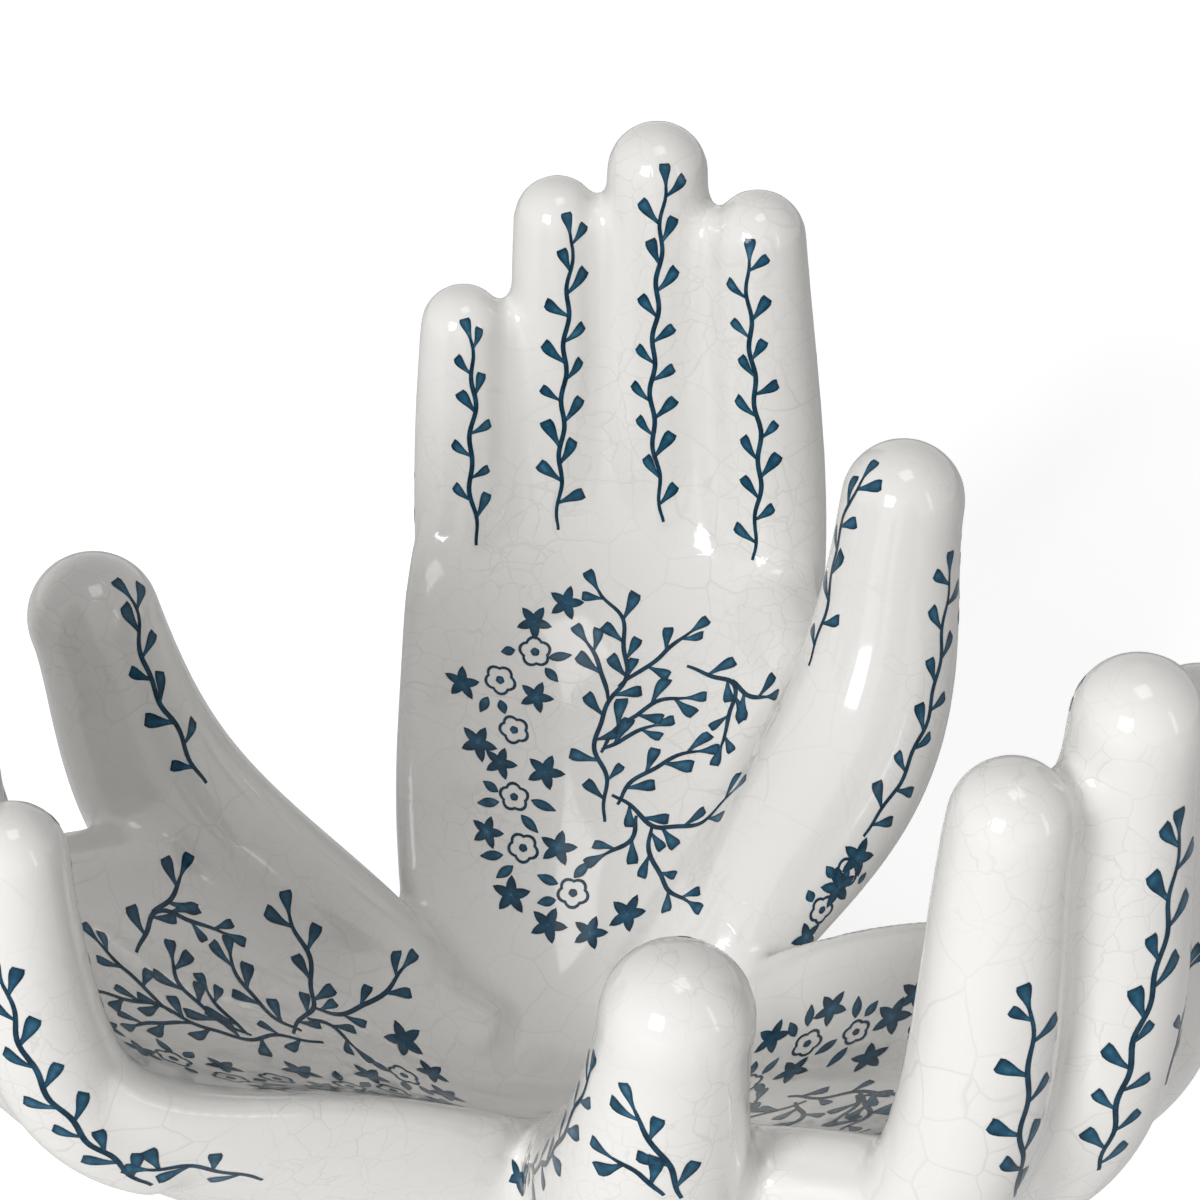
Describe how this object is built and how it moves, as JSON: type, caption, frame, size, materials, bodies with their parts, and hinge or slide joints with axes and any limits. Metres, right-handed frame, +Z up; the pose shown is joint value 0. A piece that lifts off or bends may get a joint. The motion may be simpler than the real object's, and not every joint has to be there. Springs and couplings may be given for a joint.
{
  "type": "ceramic hand bowl sculpture",
  "caption": "Decorative open bowl formed by upright cupped ceramic hands joined at the wrists, palms inwards, with crackle glaze and blue leaf print.",
  "frame": {"origin": "middle of the foot ring, on the surface the object stands on", "axes": "+Z up; the back hand points almost along +Y, the left hand towards -X and -Y, the right hand towards +X and -Y; the picture looks along +Y and down"},
  "size_m": [0.2285, 0.2265, 0.1772],
  "materials": {
    "white_glaze": "glossy warm white glaze with fine pale crackle lines and a blue leaf and flower print under it",
    "bare_foot": "smooth unglazed white clay"
  },
  "bodies": {
    "root": {"hand_back": "white_glaze", "hand_left": "white_glaze", "hand_right": "white_glaze", "slip_joint_right_back": "white_glaze", "slip_joint_back_left": "white_glaze", "slip_joint_left_right": "white_glaze", "centre_plug": "white_glaze", "foot_ring": "bare_foot"}
  },
  "joints": []
}
